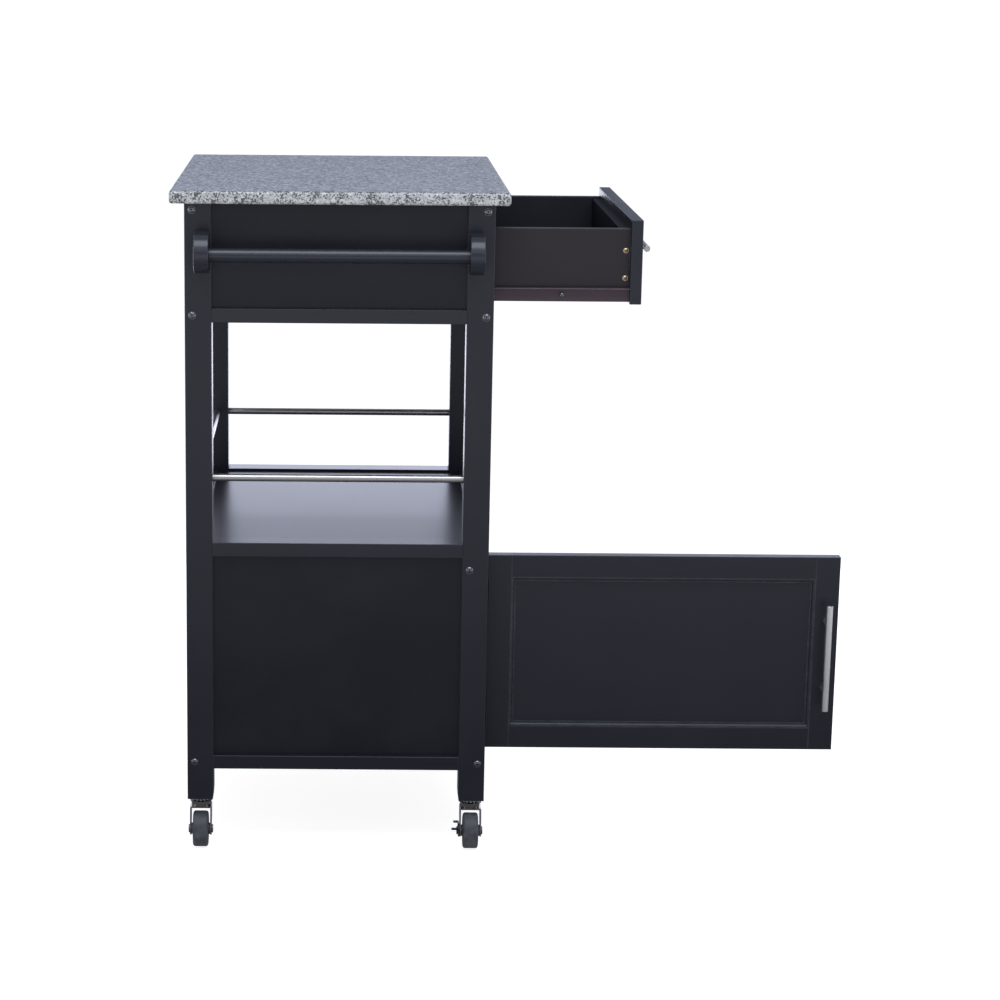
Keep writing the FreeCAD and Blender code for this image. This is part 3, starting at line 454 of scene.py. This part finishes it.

# A seventh colour given to painted_wood is catch, the painted highlight along the edges: so for the bead,
# the drawer's inner front and the slides.
FINISHES = {
    "granite": polished_granite(),
    "black_x": painted_wood("black_lacquer_x", BLACK, BLACK_MARKED, 0.36, "X"),
    "black_y": painted_wood("black_lacquer_y", BLACK, BLACK_MARKED, 0.36, "Y"),
    "black_z": painted_wood("black_lacquer_z", BLACK, BLACK_MARKED, 0.36, "Z"),
    "panel": painted_wood("black_panel", PANEL_BLACK, BLACK_MARKED, 0.40, "Z", 0.25, specular=0.38),
    "shelf": painted_wood("black_shelf", BLACK, BLACK_MARKED, 0.30, "X", 0.3, uneven=0.08),
    "rail_y": painted_wood("black_end_rail", BLACK, BLACK_MARKED, 0.28, "Y", 0.3, uneven=0.25),
    # The towel bar and its brackets are painted lighter than the other black lacquer: painted highlight.
    "bar": painted_wood(
        "black_towel_bar", (0.012, 0.0138, 0.019, 1), (0.016, 0.018, 0.024, 1), 0.27, "Y", 0.2,
        uneven=0.3),
    # The door panel is painted a little lighter than the frame's lacquer: painted light.
    "door_panel": painted_wood(
        "black_door_panel", (0.0062, 0.0070, 0.0110, 1), BLACK_MARKED, 0.38, "Z", 0.25),
    "bead": painted_wood(
        "black_bead", (0.010, 0.0115, 0.016, 1), BLACK_MARKED, 0.26, "Y", 0.2, (0.055, 0.058, 0.068, 1)),
    "drawer_board": painted_wood(
        "drawer_board", (0.0062, 0.0046, 0.0056, 1), (0.012, 0.0092, 0.0105, 1), 0.45, "Y", 1.0,
        BOARD_EDGE_HIGHLIGHT, tint=(0.93, 0.87, 0.95, 1)),
    "drawer_board_navy": painted_wood(
        "drawer_board_navy", (0.0042, 0.0046, 0.0078, 1), (0.008, 0.0084, 0.012, 1), 0.45, "Y", 1.0,
        BOARD_EDGE_HIGHLIGHT),
    "drawer_board_x": painted_wood(
        "drawer_board_x", (0.0040, 0.0045, 0.0080, 1), (0.007, 0.0075, 0.011, 1), 0.5, "X", 1.0,
        specular=0.35),
    "inner_front": painted_wood(
        "inner_front", (0.0030, 0.0033, 0.0055, 1), (0.004, 0.0045, 0.007, 1), 0.62, "X", 0.5,
        (0.006, 0.0065, 0.009, 1), specular=0.12),
    "rod": metal("steel_rod", (0.47, 0.455, 0.44, 1), (0.42, 0.405, 0.39, 1), 0.30, (25, 2, 25), 0.0),
    "pull": metal("satin_nickel", (0.80, 0.79, 0.78, 1), (0.58, 0.57, 0.56, 1), 0.28, (900, 900, 6)),
    # The drawer's pull is the same satin nickel as the door's, painted darker: painted shade.
    "pull_x": metal("satin_nickel_x", (0.46, 0.45, 0.44, 1), (0.34, 0.33, 0.32, 1), 0.28, (6, 900, 900)),
    "slide": painted_wood(
        "brown_slide", (0.030, 0.0165, 0.0245, 1), (0.045, 0.027, 0.038, 1), 0.34, "Y", 0.1,
        (0.16, 0.13, 0.155, 1), tint=(1.0, 0.9, 0.98, 1)),
    "brass": metal("brass_screw", (0.62, 0.50, 0.33, 1), (0.36, 0.27, 0.16, 1), 0.3, (700, 700, 700)),
    "bolt": metal(
        "dark_bolt", (0.19, 0.195, 0.215, 1), (0.12, 0.122, 0.135, 1), 0.13, (200, 200, 200), 0.05),
    "zinc": metal("zinc_plate", (0.70, 0.72, 0.74, 1), (0.50, 0.51, 0.53, 1), 0.22, (500, 500, 500)),
    "caster": metal("caster_steel", (0.30, 0.285, 0.27, 1), (0.09, 0.085, 0.08, 1), 0.20, (60, 60, 420)),
    "chrome": metal("chrome", (0.96, 0.96, 0.97, 1), (0.90, 0.90, 0.91, 1), 0.34, (300, 300, 300), 0.05),
    # Near-black cross on the screw heads: painted shade of a recess.
    "recess": metal(
        "painted_recess_shade", (0.012, 0.012, 0.012, 1), (0.006, 0.006, 0.006, 1), 0.6, (500, 500, 500)),
    "hinge": metal("black_steel", (0.030, 0.030, 0.032, 1), (0.018, 0.018, 0.018, 1), 0.38, (300, 300, 30)),
    "tread": plastic("wheel_rubber", (0.030, 0.033, 0.040, 1), (0.075, 0.08, 0.09, 1), 0.55, 1400.0),
    "nylon": plastic("nylon_roller", (0.75, 0.74, 0.70, 1), (0.55, 0.53, 0.48, 1), 0.4, 900.0),
    "catch": plastic("brown_plastic", (0.09, 0.05, 0.03, 1), (0.14, 0.085, 0.055, 1), 0.42, 900.0),
}

NODE_FINISH = {
    "granite_top": "granite", "leg_front_left": "black_z", "leg_front_right": "black_z",
    "leg_back_left": "black_z", "leg_back_right": "black_z", "end_rails_left": "rail_y",
    "end_rails_right": "rail_y", "bottom_rail_front": "black_x", "shelf_rail_front": "black_x",
    "drawer_rail_front": "black_x", "top_rail_front": "black_x", "back_rails": "black_x",
    "door_stop_rail": "black_x", "lower_end_panels": "panel", "upper_end_panels": "panel",
    "lower_back_panel": "panel", "upper_back_panel": "panel", "shelf_board": "shelf",
    "cabinet_floor": "shelf", "top_cleats": "drawer_board_x", "towel_bar": "bar",
    "towel_brackets": "bar", "drawer_front": "black_x", "drawer_inner_front": "inner_front",
    "drawer_back": "drawer_board_x", "drawer_side_left": "drawer_board",
    "drawer_side_right": "drawer_board_navy", "drawer_bottom": "drawer_board_x",
    "door_stiles": "black_z", "door_rails": "black_y", "door_panel": "door_panel",
    "gallery_rods": "rod", "drawer_pull": "pull_x", "door_pull": "pull", "cabinet_slides": "slide",
    "drawer_slides": "slide", "drawer_screws": "brass", "frame_bolts": "bolt", "barrel_nuts": "zinc",
    "leg_inserts": "zinc", "strike_plate": "zinc", "caster_balls": "chrome", "caster_stems": "caster",
    "hinge_frame_leaves": "hinge", "hinge_door_leaves": "hinge", "magnetic_catch": "catch",
    "front_rollers": "nylon", "back_rollers": "nylon", "brake_lever_left": "hinge",
    "brake_lever_right": "hinge",
}
for corner in ("front_left", "front_right", "back_left", "back_right"):
    NODE_FINISH["caster_fork_" + corner] = "caster"
    NODE_FINISH["caster_wheel_" + corner] = "tread"


def paint_nodes():
    """Gives each CAD piece its finish."""
    for name, finish in NODE_FINISH.items():
        slots = NODES[name].data.materials
        slots.clear()
        slots.append(FINISHES[finish])


# ---------------------------------------------------------------- pieces

# How far in from the frame's edge, and how high over the door panel, the bead's section runs.
BEAD_SECTION = (
    (0.0, 0.0), (0.0, 0.0056), (0.0011, 0.0056), (0.0014, 0.0046), (0.0024, 0.0044), (0.0033, 0.0038),
    (0.0040, 0.0029), (0.0044, 0.0018), (0.0046, 0.0009), (0.0062, 0.0009), (0.0066, 0.0))
# Radius, rise and recess of each kind of screw head.
BOLT_HEAD = (0.0050, 0.0020, 0.0030)
DRAWER_HEAD = (0.0036, 0.0018, 0.0036)
SLIDE_HEAD = (0.0030, 0.0012, 0.0028)
HINGE_HEAD = (0.0022, 0.0009, 0.0020)
# Width of a cross recess beside its length, and its depth beside the dome's rise.
CROSS_WIDE = 0.24
CROSS_DEEP = 2.02
# A head stands this far out of the wood, and its points lie this close together.
PROUD = 0.0001
HEAD_REACH = 0.012
SLIDE_SCREWS_AT = (0.26, 0.62, 0.90)
HINGE_TALL = 0.045
HINGE_SCREWS_AT = (0.17, 0.5, 0.83)
LEAF_MIDDLE = 0.6
LEAF_SINK = 0.0004


def keep_piece(name, mesh, body):
    """A finished piece that rides on a body."""
    piece = bpy.data.objects.new(name, mesh)
    bpy.context.scene.collection.objects.link(piece)
    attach(piece, body)
    return piece


def bead_moulding():
    """The moulding round the door panel, mitred at the corners."""
    low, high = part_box("door_beads")
    panel = high[0]
    corners = ((low[1], low[2], 1, 1), (high[1], low[2], -1, 1),
               (high[1], high[2], -1, -1), (low[1], high[2], 1, -1))
    points = [(panel - rise, y + into_y * inset, z + into_z * inset)
              for y, z, into_y, into_z in corners for inset, rise in BEAD_SECTION]
    count = len(BEAD_SECTION)
    faces = []
    for side in range(4):
        here, there = side * count, (side + 1) % 4 * count
        faces += [(here + k, there + k, there + (k + 1) % count, here + (k + 1) % count)
                  for k in range(count)]
    mesh = bpy.data.meshes.new("door_bead_moulding")
    mesh.from_pydata(points, [], faces)
    shape = bmesh.new()
    shape.from_mesh(mesh)
    bmesh.ops.recalc_face_normals(shape, faces=shape.faces)
    shape.to_mesh(mesh)
    shape.free()
    mesh.materials.append(FINISHES["bead"])
    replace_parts(keep_piece("door_bead_moulding", mesh, "door"), "door_beads")


def socket_of(tree, label):
    """The identifier of a tree's input."""
    return next(item.identifier for item in tree.interface.items_tree if item.name == label)


def make_screw_heads():
    """Sets a low dome at each point, facing the way that the point says, with a cross of boxes through it
    in its own material, which paints the shade of a cross recess.
    """
    tree = bpy.data.node_groups.new("screw_heads", "GeometryNodeTree")
    tree.interface.new_socket("Geometry", in_out="INPUT", socket_type="NodeSocketGeometry")
    for label, kind in (("Radius", "Float"), ("Rise", "Float"), ("Recess", "Float"),
                        ("Head", "Material"), ("Cross", "Material")):
        tree.interface.new_socket(label, in_out="INPUT", socket_type="NodeSocket" + kind)
    tree.interface.new_socket("Geometry", in_out="OUTPUT", socket_type="NodeSocketGeometry")
    given = node(tree, "NodeGroupInput").outputs
    out = node(tree, "NodeGroupOutput").inputs
    facing = node(
        tree, "GeometryNodeInputNamedAttribute", {"Name": "facing"}, data_type="FLOAT_VECTOR").outputs[0]
    turn = node(tree, "FunctionNodeAlignRotationToVector", {"Vector": facing}, axis="Z").outputs[0]

    def everywhere(shape, material):
        placed = node(tree, "GeometryNodeInstanceOnPoints", {
            "Points": given["Geometry"], "Instance": shape, "Rotation": turn}).outputs[0]
        real = node(tree, "GeometryNodeRealizeInstances", {"Geometry": placed}).outputs[0]
        return node(tree, "GeometryNodeSetMaterial", {"Geometry": real, "Material": material}).outputs[0]

    size = node(tree, "ShaderNodeCombineXYZ", {
        0: given["Radius"], 1: given["Radius"], 2: given["Rise"]}).outputs[0]
    ball = node(tree, "GeometryNodeMeshUVSphere", {"Segments": 12, "Rings": 8, "Radius": 1.0}).outputs[0]
    smooth = node(tree, "GeometryNodeSetShadeSmooth", {"Geometry": ball}).outputs[0]
    dome = node(tree, "GeometryNodeTransform", {"Geometry": smooth, "Scale": size}).outputs[0]
    wide = calculate(tree, "MULTIPLY", given["Recess"], CROSS_WIDE)
    deep = calculate(tree, "MULTIPLY", given["Rise"], CROSS_DEEP)
    bars = []
    for across, along in ((given["Recess"], wide), (wide, given["Recess"])):
        extent = node(tree, "ShaderNodeCombineXYZ", {0: across, 1: along, 2: deep}).outputs[0]
        bars.append(node(tree, "GeometryNodeMeshCube", {"Size": extent}).outputs[0])
    cross = node(tree, "GeometryNodeJoinGeometry")
    for bar in bars:
        tree.links.new(bar, cross.inputs[0])
    joined = node(tree, "GeometryNodeJoinGeometry")
    tree.links.new(everywhere(dome, given["Head"]), joined.inputs[0])
    tree.links.new(everywhere(cross.outputs[0], given["Cross"]), joined.inputs[0])
    tree.links.new(joined.outputs[0], out[0])
    return tree


SCREW_HEADS = make_screw_heads()


def screw_heads(name, spots, sizes, head, cross, body):
    """One piece with a screw head at each spot: where it is, and which way it faces."""
    radius, rise, recess = sizes
    dots = bpy.data.meshes.new(name + "_dots")
    dots.from_pydata([where for where, facing in spots], [], [])
    ways = dots.attributes.new("facing", "FLOAT_VECTOR", "POINT")
    for item, (where, facing) in zip(ways.data, spots):
        item.vector = facing
    holder = bpy.data.objects.new(name + "_holder", dots)
    bpy.context.scene.collection.objects.link(holder)
    made = holder.modifiers.new("heads", "NODES")
    made.node_group = SCREW_HEADS
    for label, value in (("Radius", radius), ("Rise", rise), ("Recess", recess),
                         ("Head", FINISHES[head]), ("Cross", FINISHES[cross])):
        made[socket_of(SCREW_HEADS, label)] = value
    bpy.context.view_layer.update()
    mesh = bpy.data.meshes.new_from_object(holder.evaluated_get(bpy.context.evaluated_depsgraph_get()))
    bpy.data.objects.remove(holder)
    mesh.name = name
    return keep_piece(name, mesh, body)


def proud_spots(node_name, plane, side):
    """The middles of the round heads of a node that stand out of a plane across X."""
    spots = []
    for point in (v.co for v in NODES[node_name].data.vertices):
        if (point.x - plane) * side > PROUD:
            near = next((s for s in spots if math.dist(s[0][1:], point[1:]) < HEAD_REACH), None)
            if near:
                near.append(tuple(point))
            else:
                spots.append([tuple(point)])
    middles = []
    for points in spots:
        spread = [(min(c), max(c)) for c in zip(*points)]
        middles.append((plane, sum(spread[1]) / 2, sum(spread[2]) / 2))
    return middles


def add_screws():
    """Domes on the bolts and the drawer's screws, and the screws of the hinges and the slides."""
    bolts = []
    for leg, side in (("leg_front_left", -1), ("leg_front_right", 1)):
        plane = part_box(leg)[0 if side < 0 else 1][0]
        bolts += [(spot, (side, 0, 0)) for spot in proud_spots("frame_bolts", plane, side)]
    screw_heads("frame_bolt_domes", bolts, BOLT_HEAD, "bolt", "recess", "carcass")
    screws = []
    for board, side in (("drawer_side_left", -1), ("drawer_side_right", 1)):
        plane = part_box(board)[0 if side < 0 else 1][0]
        screws += [(spot, (side, 0, 0)) for spot in proud_spots("drawer_screws", plane, side)]
    screw_heads("drawer_screw_domes", screws, DRAWER_HEAD, "brass", "recess", "drawer")
    low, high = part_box("drawer_slides")
    level = (low[2] + high[2]) / 2
    runner = []
    for share in SLIDE_SCREWS_AT:
        along = low[1] + share * (high[1] - low[1])
        runner += [((low[0], along, level), (-1, 0, 0)), ((high[0], along, level), (1, 0, 0))]
    screw_heads("slide_screws", runner, SLIDE_HEAD, "bolt", "slide", "drawer")
    for leaves, body in (("hinge_frame_leaves", "carcass"), ("hinge_door_leaves", "door")):
        low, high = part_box(leaves)
        spots = []
        for foot in (low[2], high[2] - HINGE_TALL):
            for share in HINGE_SCREWS_AT:
                z = foot + share * HINGE_TALL
                if body == "carcass":
                    y = low[1] + LEAF_MIDDLE * (high[1] - low[1])
                    spots.append(((high[0] - LEAF_SINK, y, z), (1, 0, 0)))
                else:
                    x = low[0] + LEAF_MIDDLE * (high[0] - low[0])
                    spots.append(((x, high[1] - LEAF_SINK, z), (0, 1, 0)))
        name = leaves.replace("leaves", "screws")
        screw_heads(name, spots, HINGE_HEAD, "hinge", "recess", body)


# ---------------------------------------------------------------- assembly

make_camera()
make_studio()
paint_nodes()
bead_moulding()
add_screws()
